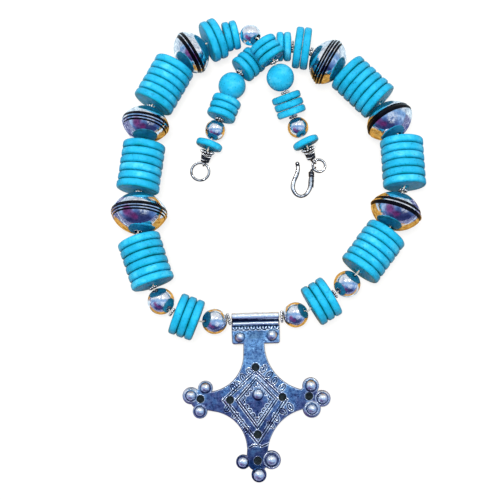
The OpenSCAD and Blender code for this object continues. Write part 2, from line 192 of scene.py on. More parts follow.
def piece(name, bm, materials, *nodes, slot="silver", sharp=40):
    """Makes an object of a mesh, smooth but for its sharp edges, that rides on the necklace."""
    bmesh.ops.recalc_face_normals(bm, faces=bm.faces)
    mesh = bpy.data.meshes.new(name)
    bm.to_mesh(mesh)
    bm.free()
    mesh.shade_smooth()
    mesh.set_sharp_from_angle(angle=math.radians(sharp))
    obj = shown(name, mesh)
    for m in materials:
        mesh.materials.append(m)
    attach(obj, "root")
    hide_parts(*nodes)
    return obj


def arc(middle, radius, start, end, steps):
    """Points of an arc in the (along, radius) plane, with angles in degrees."""
    turns = [math.radians(start + (end - start) * k / steps) for k in range(steps + 1)]
    return [(middle[0] + radius * math.cos(turn), middle[1] + radius * math.sin(turn)) for turn in turns]


# Dyed magnesite, tumbled: a saturated blue with paler clouds, faint dark grain and a soft sheen.
turquoise, tree, shader, where = new_material("dyed_magnesite_tumbled", {"Specular IOR Level": 0.25})
# The attribute carries each disc's own tone, less painted shade on its flat faces and in the grooves between
# discs.
tone = add(tree, "Attribute", {"attribute_name": "tone"}).outputs["Fac"]
clouds = add(tree, "TexNoise", {"Scale": grain(5), "Detail": 4.0, "Roughness": 0.55}, {"Vector": where})
specks = add(tree, "TexNoise", {"Scale": grain(0.9), "Detail": 3.0}, {"Vector": where})
mottle = add(tree, "Math", {"operation": "MULTIPLY_ADD", 1: 0.7}, {0: clouds, 2: tone})
dye = add(tree, "ValToRGB", {"stops": [(0.02, "#046A80"), (0.2, "#0890AC"), (0.36, "#1498C6"),
                                       (0.55, "#20A8D6"), (0.75, "#54C2E4")]}, {"Fac": mottle})
veins = add(tree, "ValToRGB", {"stops": [(0.3, "#7A8A90"), (0.42, "#FFFFFF")]}, {"Fac": specks})
mixed = add(tree, "Mix", {"blend_type": "MULTIPLY", 0: 0.55}, {6: dye, 7: veins})
rough = add(tree, "MapRange", {"To Min": 0.34, "To Max": 0.5}, {"Value": clouds})
pits = add(tree, "TexNoise", {"Scale": grain(0.6), "Detail": 5.0}, {"Vector": where})
bump = add(tree, "Bump", {"Strength": 0.25, "Distance": 0.1 * MM}, {"Height": pits})
join(shader, {"Base Color": mixed, "Roughness": rough, "Normal": bump})

BORE = 1.6 * MM              # radius of a drilled hole
CHAMFER = 0.3 * MM, 0.4 * MM         # width and depth of the drill's chamfer
CORNER = 1.25 * MM           # rounding of a tumbled disc
UNEVEN = 0.16 * MM           # how far tumbling leaves it from true
SLIMMEST = 0.985             # the slimmest disc's share of the full radius
SHADES = 0.05, 0.25          # a disc's own shade of the dye lies between these
FACE_SHADE, GROOVE_SHADE = 0.14, 0.34     # painted shade on the flat faces, and in the grooves by them
SIDES = 72                   # sides of a round stone or ball
DISC_GROUPS = ("low_discs", "lower_stack", "middle_stack", "upper_stack", "top_discs", "small_pair",
               "crossing_discs", "small_discs", "end_disc")
chance = random.Random(4)


def set_tone_and_shade(obj, tones_and_shades):
    """Gives each stretch of vertices its own shade, as (count, shade) pairs."""
    layer = obj.data.attributes.new("tone", "FLOAT", "POINT")
    layer.data.foreach_set("value", [shade for count, shade in tones_and_shades for _ in range(count)])


for side in ("left", "right"):
    for group in DISC_GROUPS:
        node = f"{side}_{group}"
        bm = bmesh.new()
        tones_and_shades = []
        for spot in solids_of(node):
            half, radius = spot[2], spot[3] * chance.uniform(SLIMMEST, 1.0)
            corner = min(CORNER, half * 0.92)
            profile = ([(-half, BORE + CHAMFER[0]), (-half, radius * 0.5), (-half, radius * 0.75)]
                       + arc((-half + corner, radius - corner), corner, 180, 90, 8)
                       + arc((half - corner, radius - corner), corner, 90, 0, 8)
                       + [(half, radius * 0.75), (half, radius * 0.5), (half, BORE + CHAMFER[0]),
                          (half - CHAMFER[1], BORE), (CHAMFER[1] - half, BORE)])
            turned(bm, spot, profile, SIDES, uneven=UNEVEN)
            shade = chance.uniform(*SHADES)
            # Each profile ring gets the disc's own tone, less painted shade on the flat faces and towards
            # them in the grooves.
            for a, r in profile:
                by_face = max(0, 1 - (half - abs(a)) / corner)
                flat = r < radius - 1.05 * corner
                tones_and_shades.append((SIDES, shade - (FACE_SHADE if flat else GROOVE_SHADE * by_face ** 2)))
        set_tone_and_shade(piece(f"{node}_tumbled", bm, [turquoise], node, slot="turquoise"), tones_and_shades)


# Turquoise balls
# One ball near each end of the thread, turned from the same dyed stone as the discs and
# tumbled with them, so that it shares their finish.

def drilled_ball(radius, bore):
    """Profile of a ball with a hole through it."""
    edge = math.degrees(math.asin(bore / radius))
    bored = [(radius * 0.8, bore * 0.9), (-radius * 0.8, bore * 0.9)]
    return arc((0, 0), radius, 180 - edge, edge, 40) + bored


for side in ("left", "right"):
    node = f"{side}_stone_ball"
    bm = bmesh.new()
    spot = solids_of(node)[0]
    profile = drilled_ball(spot[3], BORE)
    turned(bm, spot, profile, SIDES, uneven=UNEVEN / 2)
    set_tone_and_shade(piece(f"{node}_turned", bm, [turquoise], node, slot="turquoise"), [(len(profile) * SIDES, 0.2)])


# Silver balls
# Hollow balls of sheet silver, raised in two cups and soldered at the middle. They are
# polished, then worn by years against the skin, so they mirror their neighbours in streaks.

def silver(name, low, high, roughness, dents, dent_size, scratches, painted_shade_below=0.0, metallic=1.0):
    """Worn polished silver: two shades of metal, shallow dents and fine scratches.

    The depths of dents and scratches and the size of a dent are in millimetres. Real scratches
    are too fine for the render, so they are drawn coarser. A number for painted shade makes the
    silver black where its surface faces down and up its sides, by which way it faces: at 1
    nearly to the top."""
    material, tree, shader, where = new_material(name, {"Metallic": metallic})
    patches = add(tree, "TexNoise", {"Scale": grain(3), "Detail": 5.0, "Roughness": 0.65}, {"Vector": where})
    metal = add(tree, "ValToRGB", {"stops": [(0.35, low), (0.6, high)]}, {"Fac": patches})
    if painted_shade_below > 0:
        # Painted shade: black by how far the surface faces down, broken up by the patches.
        facing = add(tree, "NewGeometry").outputs["Normal"]
        upward = add(tree, "SeparateXYZ", links={0: facing}).outputs["Z"]
        edge = add(tree, "Math", {"operation": "MULTIPLY_ADD", 1: 0.5}, {0: patches, 2: upward})
        painted_shade = add(tree, "MapRange", {"From Min": painted_shade_below + 0.15, "From Max": painted_shade_below}, {"Value": edge})
        metal = add(tree, "Mix", {7: linear("#14161E")}, {0: painted_shade, 6: metal})
    wear = add(tree, "MapRange", {"To Min": roughness * 0.6, "To Max": roughness * 1.4}, {"Value": patches})
    hollows = add(tree, "TexNoise", {"Scale": grain(dent_size), "Detail": 1.0}, {"Vector": where})
    first = add(tree, "Bump", {"Strength": 1.0, "Distance": dents * MM}, {"Height": hollows})
    lines = add(tree, "TexNoise", {"Scale": grain(0.5), "Detail": 6.0, "Distortion": 1.5}, {"Vector": where})
    second = add(tree, "Bump", {"Strength": 1.0, "Distance": scratches * MM},
                 {"Height": lines, "Normal": first})
    join(shader, {"Base Color": metal, "Roughness": wear, "Normal": second})
    return material


# Ball silver, polished and worn: near mirror, with shallow dents and fine scratches.
ball_silver = silver("ball_silver_polished", "#CCD6EA", "#FFFFFF", 0.16, 0.1, 1.8, 0.01)
SILVER_BORE = 1.7 * MM

for side in ("left", "right"):
    for group in ("inner_ball", "second_ball", "crossing_ball", "end_ball"):
        node = f"{side}_{group}"
        bm = bmesh.new()
        spot = solids_of(node)[0]
        turned(bm, spot, drilled_ball(spot[3], SILVER_BORE), SIDES)
        piece(f"{node}_raised", bm, [ball_silver], node)


# Banded beads
# Large hollow lenses of silver, two domed halves soldered at a belt. The belt carries
# grooves filled with black niello between polished wires, on each bead a little different.

def spotted(name, size, stops, detail, values):
    """A dull finish in shades of one colour, with spots of a size in millimetres."""
    material, tree, shader, where = new_material(name, values)
    spots = add(tree, "TexNoise", {"Scale": grain(size), "Detail": detail}, {"Vector": where})
    join(shader, {"Base Color": add(tree, "ValToRGB", {"stops": stops}, {"Fac": spots})})
    return material


# Sheet silver, raised and polished: a nearly clean mirror with broad shallow dents.
sheet_silver = silver("sheet_silver_polished", "#BCC6D6", "#F2F4F8", 0.1, 0.09, 3.0, 0.006)

# Niello: black sulphide melted into the grooves and polished flush, a dull dark gloss.
niello = spotted("niello_filled", 1.5, [(0.35, "#010106"), (0.75, "#06060E")], 4.0,
                 {"Roughness": 0.3, "Specular IOR Level": 0.1})

END_FLAT = 3.2 * MM          # radius of the flat round each end of the bore
RIDGE = math.radians(20)     # between each half's rim and the belt's own direction
GROOVE = 0.25 * MM           # depth of a groove
WALL = 0.06                  # width of its wall, mm
STACKS = ("lower_stack", "middle_stack", "upper_stack", "top_discs")     # a bead lies between two
# For each bead, the middle and width in millimetres of its grooves, from the equator
# towards the clasp end of the strand.
BELTS = {
    "left_banded_bead_1": [(0.25, 1.7), (-1.4, 0.8), (-2.6, 0.8)],
    "left_banded_bead_2": [(0.1, 1.5), (-1.5, 0.8), (-2.75, 0.8)],
    "left_banded_bead_3": [(0.1, 1.6), (-1.85, 1.7)],
    "right_banded_bead_1": [(1.6, 1.7), (-0.8, 1.8)],
    "right_banded_bead_2": [(0.3, 3.5)],
    "right_banded_bead_3": [(2.1, 1.1), (0.75, 1.1), (-0.75, 1.1), (-2.1, 1.1)],
}


def centre(node):
    """Middle of a CAD node's box."""
    low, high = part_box(node)
    return (Vector(low) + Vector(high)) / 2


def rim(a, radius, bow):
    """Radius of a lens at a distance from its belt; bow is the curve of its two halves."""
    shift = abs(a) + bow * math.sin(RIDGE)
    return radius - bow * math.cos(RIDGE) + math.sqrt(bow * bow - shift * shift)


for node, belt in BELTS.items():
    side, number = node.split("_")[0], int(node[-1])
    way = centre(f"{side}_{STACKS[number]}") - centre(f"{side}_{STACKS[number - 1]}")
    spot = solids_of(node, way)[0]
    half, radius = spot[2], spot[3]
    rise = radius - END_FLAT
    bow = (half * half + rise * rise) / (2 * (rise * math.cos(RIDGE) - half * math.sin(RIDGE)))
    places = sorted({-half + 2 * half * k / 44 for k in range(45)}
                    | {(m + s * w / 2 + t * WALL) * MM for m, w in belt for s in (-1, 1) for t in (-s, 0)})
    profile, marks = [], []
    for a in places:
        inside = any(abs(a - m * MM) < (w / 2 - WALL / 2) * MM for m, w in belt)
        profile.append((a, rim(a, radius, bow) - (GROOVE if inside else 0)))
        marks.append(1 if inside else 0)
    marks = [one * two for one, two in zip(marks, marks[1:] + marks[:1])]
    profile += [(half, SILVER_BORE), (-half, SILVER_BORE)]
    marks += [0, 0]
    bm = bmesh.new()
    turned(bm, spot, profile, 96, marks)
    piece(f"{node}_soldered", bm, [sheet_silver, niello], node)


# Spacers
# Small rings between the groups, each a circle of cast silver granules fused on a thin
# ring. The lowest places between the granules stay black with tarnish.

def granule(bm, place, radius, way=None, stretch=1.0):
    """A small ball, round enough for its size, or an egg drawn out along a way."""
    shape = Matrix.Translation(place)
    if way is not None:
        turn = way.to_track_quat("Z", "Y").to_matrix().to_4x4()
        shape = shape @ turn @ Matrix.Diagonal((1, 1, stretch, 1))
    bmesh.ops.create_icosphere(bm, subdivisions=2, radius=radius, matrix=shape)


def wire_ring(bm, spot, radius, wire, steps=10, sides=32, mark=0, uneven=0.0):
    """A ring bent from round wire. steps are the sides of the wire, sides those of the ring."""
    turned(bm, spot, arc((0, radius), wire, 180, -180, steps)[:-1], sides, [mark] * steps, uneven)


# Cast granules, bright from tumbling, painted black as shade on their lower sides, and the black that stays
# between them.
granule_silver = silver("granule_silver_cast", "#F0F2F6", "#FFFFFF", 0.25, 0.02, 1.0, 0.004,
                        painted_shade_below=0.9, metallic=0.6)
black_silver = spotted("sulphide_blackened_silver", 0.8, [(0.3, "#15161C"), (0.7, "#4A5262")], 4.0,
                       {"Metallic": 0.8, "Roughness": 0.42})

GRANULE, CORE = 0.62 * MM, 0.42 * MM         # radii of a granule and of the black ring's wire
WIDE_SPACER = 2.6 * MM       # a spacer wider than this has twelve granules, the others nine

for side in ("left", "right"):
    node = f"{side}_spacers"
    bm = bmesh.new()
    for spot in solids_of(node):
        for out in spokes(spot[1], 12 if spot[3] > WIDE_SPACER else 9):
            granule(bm, spot[0] + out * (spot[3] - GRANULE * 0.8), GRANULE)
        wire_ring(bm, spot, spot[3] - GRANULE, CORE, 12, mark=1)
    piece(f"{node}_granulated", bm, [granule_silver, black_silver], node)


# Bead caps and wound cones
# Each strand ends in a cap of long granules and a cone wound with twisted wire, which hides
# the knot. A straight stem leads from the cone to a wire eye that holds the clasp's ring.

CAP_GRANULE, CAP_STRETCH = 0.72 * MM, 1.6            # radius of a cap's granule, and how long it is
CONE_LONG, CONE_WIDE, CONE_SLIM = 4.2, 2.25, 1.6     # length and radii of the winding, mm
WINDING = 0.27               # radius of one strand of the winding's wire, mm
TURNS, TWISTS = 6, 9         # turns of the winding, and twists of its wire in one turn
BRIGHT_TURNS = (0, 1, 4)     # the others are black
STEM = 0.6                   # radius of the wire of stems and rings, mm
EYE_R, EYE_WIRE, EYE_HIGH = 1.2, 0.35, 1.55          # radii and height of a wire eye, mm
RING_AT, RING_RADIUS = (-34.4, 38), 4.5              # the clasp's plain ring, mm
JUMP_AT, JUMP_RADIUS = (25.7, 41.1), 3.2             # the hook's jump ring, mm
# For each side: the middle of the cone, and the place and radius of the ring that it holds,
# with the side in degrees on which it holds it.
CONES = {"left": ((21.2, 45.85, 4.05), JUMP_AT, JUMP_RADIUS, 146),
         "right": ((-31.5, 44.35, 4.05), RING_AT, RING_RADIUS, 62)}


def from_mm(points):
    """Points given in millimetres, in metres."""
    return [(a * MM, b * MM) for a, b in points]


def rope_ring(bm, spot, offset, radius, wire, twists, mark):
    """A ring of two strands of wire, twisted round each other."""
    middle, axis = spot[0] + spot[1] * offset, spot[1]
    steps = abs(twists) * 8
    for strand in (0, math.pi):
        rings = []
        for out, turn in zip(spokes(axis, steps), angles(steps)):
            twist = twists * turn + strand
            core = middle + out * (radius + wire * math.cos(twist)) + axis * wire * math.sin(twist)
            rings.append([bm.verts.new(core + (out * math.cos(a) + axis * math.sin(a)) * wire)
                          for a in angles(6)])
        skin(bm, rings, marks=[mark] * steps)


def eye(bm, at, radius, side):
    """Adds a standing wire eye round a ring's wire, and gives the place of its back."""
    out = Vector((math.cos(math.radians(side)), math.sin(math.radians(side)), 0))
    middle = (Vector((*at, EYE_HIGH)) + out * radius) * MM
    wire_ring(bm, (middle, Vector((-out.y, out.x, 0))), EYE_R * MM, EYE_WIRE * MM)
    return middle + out * EYE_R * MM


def rod(bm, start, end, radius, mark=0):
    """Adds a straight wire."""
    way = end - start
    profile = [(0, 0), (0, radius), (way.length / 2, radius), (way.length, radius), (way.length, 0)]
    turned(bm, (start, way.normalized()), profile, 16, [mark] * 4, closed=False)


for side, (at, ring_at, ring_radius, ring_side) in CONES.items():
    cap = solids_of(f"{side}_cap", centre(f"{side}_cone") - centre(f"{side}_cap"))[0]
    middle, axis, radius = cap[0], cap[1], cap[3]
    bm = bmesh.new()
    for out in spokes(axis, 12):
        lean = (out - axis * 0.4).normalized()
        granule(bm, middle + out * (radius - 1.2 * MM), CAP_GRANULE, lean, CAP_STRETCH)
    profile = [(-0.5, 1.1), (-0.5, radius / MM - 1.5), (0.4, radius / MM - 1.9), (0.6, 1.1)]
    turned(bm, cap, from_mm(profile), 32, [1] * 4)
    piece(f"{side}_cap_granulated", bm, [granule_silver, black_silver], f"{side}_cap")
    bm = bmesh.new()
    spot = (Vector(at) * MM, (Vector(at) * MM - middle).normalized())
    profile = [(-2.05, 0.8), (-2.05, CONE_WIDE), (2.1, CONE_SLIM), (2.6, 0.9), (2.6, 0)]
    turned(bm, spot, from_mm(profile), 32, [1] * 4, closed=False)
    for k in range(TURNS):
        share = (k + 0.5) / TURNS
        radius = (CONE_WIDE + (CONE_SLIM - CONE_WIDE) * share) * MM
        rope_ring(bm, spot, (CONE_LONG * (share - 0.5)) * MM, radius, WINDING * MM,
                  TWISTS if k % 2 else -TWISTS, 0 if k in BRIGHT_TURNS else 1)
    back = eye(bm, ring_at, ring_radius, ring_side)
    rod(bm, spot[0] + spot[1] * 1.2 * MM, back, STEM * MM)
    piece(f"{side}_cone_wound", bm, [granule_silver, black_silver], f"{side}_cone")


# Thread
# Waxed white beading thread, run through every bead and seen only in the small gaps between
# the groups. It keeps its CAD solid.

# Waxed polyester thread: off white, slightly dull, with the lay of its fibres. Real fibres are
# far finer than the render shows, so the lay is drawn coarser.
waxed = spotted("waxed_polyester_thread", 0.5, [(0.3, "#B9B7AE"), (0.7, "#EFEDE6")], 3.0, {"Roughness": 0.6})
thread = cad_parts["thread"].data
thread.materials.clear()
thread.materials.append(waxed)


# Pendant
# A cross cast in silver, its edges filed round, with small domes soldered on its lobes and
# a tube of rolled sheet along the top for the thread. The front is chased and punched by
# hand, black in the low places of the chasing. Its blue and purple are painted reflection,
# darker towards the foot, and black painted shade lies under the tube, round the domes and
# in the pierced holes.

# Its plan, in millimetres: x and y start at the middle of the cross, z = 0 is its back.
CROSS_AT = (-5.3, -73.8)     # middle of the cross on the surface
CROSS_TURN = math.radians(1.5)
TUBE_AT = (-0.35, 37.7)      # middle of the tube
TUBE_RISE = 1.5              # its axis over the pendant's back
TUBE_HEIGHT = 5.8            # its axis over the surface
FOOT_Y = 41.4                # reach of the lowest lobe, which rests on the surface
PLATE = 2.4                  # thickness
CROSS_TILT = math.asin((TUBE_HEIGHT - TUBE_RISE) / (TUBE_AT[1] + FOOT_Y))
CORNERS = [(-6.4, 26), (3.8, 26), (3.9, 21.5), (17, 3.4), (26, 2.5), (26, -6), (18.4, -8.4),
           (5, -22), (5.6, -24.3), (9.5, -28.7), (4, -32), (-6, -32), (-8.7, -28.6), (-5.8, -25.5),
           (-6, -24.5), (-20, -7.8), (-29, -6), (-29, 2.5), (-19.8, 2.6), (-6.7, 19.5)]
# Concave sides: both ends and how far each bows in.
HOLLOWS = [((3.9, 21.5), (17, 3.4), 2.9), ((18.4, -8.4), (5, -22), 2.2),
           ((-6, -24.5), (-20, -7.8), 3.6), ((-19.8, 2.6), (-6.7, 19.5), 3.6)]
# Lobes: place, radius of the lobe, radius of its dome, radius of a collar of wire or 0.
LOBES = [((-25.3, 3.8), 3.5, 2.3, 0), ((-32.3, 0.3), 4.1, 2.3, 3.0), ((-28.1, -7.2), 3.5, 2.4, 0),
         ((25.5, 3.6), 4, 2.5, 0), ((30.8, -2.6), 4, 2.5, 3.1), ((25.6, -7.4), 4.3, 2.3, 3.0),
         ((-8, -31.6), 3.4, 2.5, 0), ((5.6, -31), 4.4, 2.6, 3.7), ((-0.6, -37.8), 3.6, 2.8, 0)]
# Domes off the lobes, place and radius: the middle of the cross, then two on the bail's plate.
DOMES = [((0, 0), 2.4), ((-8.1, 27.7), 2.2), ((7.6, 28.3), 2.4)]
# Pierced holes: four round the middle, then one in each trefoil.
HOLES = [(-0.9, 13.1), (-13.6, -2.2), (11.7, -1.5), (-0.7, -18.9),
         (-27.8, -1.4), (24.5, -1.4), (-1, -31.2)]
HOLE_R = 1.75
TREFOIL_R = 5                # plate round the hole in the middle of a trefoil
BAIL_PLATE, BAIL_ROUND = ((-12, 24.4), (11.3, 36.4)), 1.2     # two of its corners, their rounding
RIB_Y, RIB_HALF, RIB_MIDDLE = 34.2, 11.2, -0.35      # raised rib under the tube: place, half length
SCALLOPS, FIRST_SCALLOP, SCALLOP_STEP, SCALLOP_R = 8, (-10.4, 32.7), 2.88, 1.6    # punched below it
# Chased lines: outer and inner line of each diamond, top, right, bottom and left corners.
DIAMONDS = [[(-0.9, 11.9), (13.9, -2.8), (-0.6, -23.7), (-17, -2.3)],
            [(-0.9, 10.4), (12.4, -2.8), (-0.6, -21.8), (-15.4, -2.3)],
            [(-0.8, 8.5), (9.2, -2.4), (-0.8, -16.1), (-10.7, -2.4)],
            [(-0.8, 7), (7.8, -2.4), (-0.8, -14.2), (-9.3, -2.4)]]
CRESCENT_R = 0.75            # crescent punches along the inside of the inner diamond
# Leaf punches between the diamond and the concave sides: place and lean in degrees.
LEAVES = [((-11.7, 3.5), 125), ((-9.6, 4.9), 140), ((-7.1, 8.2), 120), ((-3.6, 11.0), 150),
          ((2.9, 12.2), 60), ((5.6, 9.2), 35), ((7.9, 6.3), 55), ((11.6, 2.9), 40),
          ((-14.8, -6.2), 230), ((-11.2, -10.0), 215), ((-8.8, -13.7), 235), ((-6.4, -16.9), 225),
          ((5.7, -14.6), 320), ((8.3, -11.3), 300), ((11.6, -8.3), 325), ((15.2, -6.3), 305)]
LEAF_R, LEAF_APART = 2.35, 1.2       # a leaf is where two circles overlap
FOOT_LINE = [(-4.9, -25.1), (-2.6, -23.9), (1.2, -24.6), (4.9, -23.2)]
DULL_PLATE, DULL_FOOT = 27, -24      # beyond these, up and down, the cross is less polished
CELL = 0.2                   # grid of the relief
GRID = (-37, 36), (-42, 37)  # its ends across and along the cross


def on_pendant(x, y, z):
    """A point of the pendant's plan, placed on the surface, in metres."""
    flat_y = y * math.cos(CROSS_TILT) - z * math.sin(CROSS_TILT)
    up = y * math.sin(CROSS_TILT) + z * math.cos(CROSS_TILT) + FOOT_Y * math.sin(CROSS_TILT)
    return Vector((CROSS_AT[0] + x * math.cos(CROSS_TURN) - flat_y * math.sin(CROSS_TURN),
                   CROSS_AT[1] + x * math.sin(CROSS_TURN) + flat_y * math.cos(CROSS_TURN), up)) * MM


def reach(p, at):
    """Distance of points from one place."""
    return np.hypot(p[:, 0] - at[0], p[:, 1] - at[1])


def from_line(p, a, b):
    """Distance of points from the stretch between a and b."""
    a, b = np.array(a, float), np.array(b, float)
    share = np.clip((p - a) @ (b - a) / ((b - a) @ (b - a)), 0, 1)
    return np.hypot(*(p - a - share[:, None] * (b - a)).T)


def depth_inside(p):
    """How far inside the pendant's outline points are; negative outside."""
    nearest = np.full(len(p), np.inf)
    inside = np.zeros(len(p), bool)
    for a, b in zip(CORNERS, CORNERS[1:] + CORNERS[:1]):
        nearest = np.minimum(nearest, from_line(p, a, b))
        crosses = (a[1] > p[:, 1]) != (b[1] > p[:, 1])
        if a[1] != b[1]:
            inside ^= crosses & (p[:, 0] < (b[0] - a[0]) * (p[:, 1] - a[1]) / (b[1] - a[1]) + a[0])
    depth = np.where(inside, nearest, -nearest)
    for a, b, bow in HOLLOWS:
        a, b = np.array(a), np.array(b)
        half = np.hypot(*(b - a)) / 2
        r = (half * half + bow * bow) / (2 * bow)
        out = np.array([-(b - a)[1], (b - a)[0]]) / (2 * half)
        depth = np.minimum(depth, reach(p, (a + b) / 2 + out * (r - bow)) - r)
    for lobe in LOBES:
        depth = np.maximum(depth, lobe[1] - reach(p, lobe[0]))
    for at in HOLES[4:]:
        depth = np.maximum(depth, TREFOIL_R - reach(p, at))
    low, high = np.array(BAIL_PLATE[0]), np.array(BAIL_PLATE[1])
    q = abs(p - (low + high) / 2) - (high - low) / 2 + BAIL_ROUND
    depth = np.maximum(depth, BAIL_ROUND - np.hypot(*np.maximum(q, 0).T) - np.minimum(q.max(1), 0))
    for at in HOLES:
        depth = np.minimum(depth, reach(p, at) - HOLE_R)
    return depth


def cut(t, width):
    """Share of a groove's depth at a distance from its middle."""
    return np.clip(1 - t / width, 0, 1)


def burr(t, away, width):
    """Share of the height of the metal thrown up beside a groove."""
    return np.clip(1 - abs(t - away) / width, 0, 1)


def relief(p):
    """Height of the front over the back, and the wear with painted shade: 1 polished high, -1 black, in low
    places or painted shade.

    Places, heights and widths are in millimetres."""
    height = np.full(len(p), float(PLATE))
    wear = np.zeros(len(p))
    bumps = np.array([noise.noise((x / 5, y / 5, 3.0)) + 0.5 * noise.noise((x / 1.6, y / 1.6, 7.0))
                      for x, y in p])
    height += 0.05 * bumps
    rubbed = np.clip(0.75 + 1.3 * bumps, 0.15, 1.3)
    # Cushioned lobes, some with a collar of wire, and a black ring of painted shade round each dome and
    # inside each collar.
    for at, radius, dome, collar in LOBES:
        t = reach(p, at)
        height += 0.4 * cut(t ** 2, radius ** 2)
        wear += 0.7 * np.clip(2.4 - 2.4 * t / radius, 0, 1) - 1.1 * cut(abs(t - dome - 0.15), 0.3)
        if collar:
            height += 0.45 * burr(t, collar, 0.45)
            wear += burr(t, collar, 0.5) - 0.5 * cut(abs(t - collar + 0.7), 0.25)
    for at, dome in DOMES:
        wear -= 1.1 * cut(abs(reach(p, at) - dome - 0.15), 0.3)
    for at, dome in DOMES[1:]:
        wear += 0.3 * np.clip(2.2 - reach(p, at) / dome, 0, 1)
    # Chased lines, and a shallow trough along the two upper sides of the diamond.
    lines = [(d[k], d[(k + 1) % 4]) for d in DIAMONDS for k in range(4)]
    for a, b in lines + list(zip(FOOT_LINE, FOOT_LINE[1:])):
        t = from_line(p, a, b)
        height += 0.12 * burr(t, 0.45, 0.35) - 0.28 * cut(t, 0.3)
        wear += 1.2 * rubbed * burr(t, 0.5, 0.3) - 0.9 * cut(t, 0.25)
    trough = (np.array(DIAMONDS[1]) + np.array(DIAMONDS[2])) / 2
    for k in (3, 0):
        height -= 0.2 * cut(from_line(p, trough[k], trough[(k + 1) % 4]) ** 2, 0.8 ** 2)
    # Crescents along the inside of the inner diamond, open towards its line.
    for k in range(4):
        a, b = np.array(DIAMONDS[3][k]), np.array(DIAMONDS[3][(k + 1) % 4])
        inward = np.array([(b - a)[1], (a - b)[0]]) / np.hypot(*(b - a))
        count = 5 if k in (1, 2) else 4
        for i in range(count):
            at = a + (b - a) * (i + 0.8) / (count + 0.6) + inward
            t = abs(reach(p, at) - CRESCENT_R)
            half = (p - at) @ inward > -0.15
            height += half * (0.1 * burr(t, 0.4, 0.25) - 0.25 * cut(t, 0.3))
            wear += half * (1.2 * rubbed * burr(t, 0.45, 0.3) - cut(t, 0.28))
    # Leaves, each with a vein.
    for at, lean in LEAVES:
        way = np.array([math.cos(math.radians(lean)), math.sin(math.radians(lean))])
        side = np.array([-way[1], way[0]])
        u, v = (p - at) @ way, (p - at) @ side
        circles = [reach(p, np.array(at) + side * apart) for apart in (LEAF_APART, -LEAF_APART)]
        t = abs(np.maximum(*circles) - LEAF_R)
        vein = np.where(abs(u) < 1.0, abs(v), 9)
        height += 0.12 * burr(t, 0.35, 0.25) - 0.25 * cut(t, 0.28) - 0.2 * cut(vein, 0.25)
        wear += 1.2 * rubbed * burr(t, 0.4, 0.3) - cut(t, 0.26) - 0.8 * cut(vein, 0.3)
    # The bail's plate: a rib, with a dark line of painted shade below it and black painted shadow between it
    # and the tube, and scallops with a ray in each.
    rib = p[:, 1] - RIB_Y
    height += 0.55 * np.sqrt(cut(rib ** 2, 0.75 ** 2)) * (abs(p[:, 0] - RIB_MIDDLE) < RIB_HALF)
    wear += 2 * burr(abs(rib), 0, 1.0) - cut(abs(rib + 1.2), 0.45)
    wear = np.where((p[:, 1] > RIB_Y + 0.9) & (p[:, 1] < RIB_Y + 3), -1, wear)
    for i in range(SCALLOPS):
        at = (FIRST_SCALLOP[0] + i * SCALLOP_STEP, FIRST_SCALLOP[1])
        t = abs(reach(p, at) - SCALLOP_R)
        half = p[:, 1] < at[1] + 0.1
        ray = np.where(half & (reach(p, at) < 1.3), abs(p[:, 0] - at[0]), 9)
        height += half * (0.12 * burr(t, 0.4, 0.25) - 0.3 * cut(t, 0.35)) - 0.2 * cut(ray, 0.25)
        wear += half * 1.2 * (burr(t, 0.45, 0.3) - cut(t, 0.35))
        wear += 0.9 * burr(ray, 0.5, 0.25) - 0.9 * cut(ray, 0.3)
    # The upper inner field is rubbed bright. Edges and the rims of holes are rounded and bright.
    field = reach(p * [1, 0.9], (-0.8, 2.0))
    wear += 0.5 * rubbed * cut(field, 9) * np.clip((p[:, 1] + 3) / 3, 0, 1)
    depth = depth_inside(p)
    for at in HOLES:
        t = reach(p, at)
        height += 0.16 * burr(t, HOLE_R + 0.35, 0.3)
        wear += 0.7 * burr(t, HOLE_R + 0.3, 0.3)
        depth = np.where(t < HOLE_R + 1, np.minimum(3, depth * 3), depth)
    height -= 0.6 * (1 - np.sqrt(1 - cut(depth, 0.8) ** 2))
    wear += 0.5 * cut(abs(depth - 0.35), 0.35) - 0.2 * (p[:, 1] > DULL_PLATE) - 0.2 * (p[:, 1] < DULL_FOOT)
    return height, np.clip(wear, -1, 1)


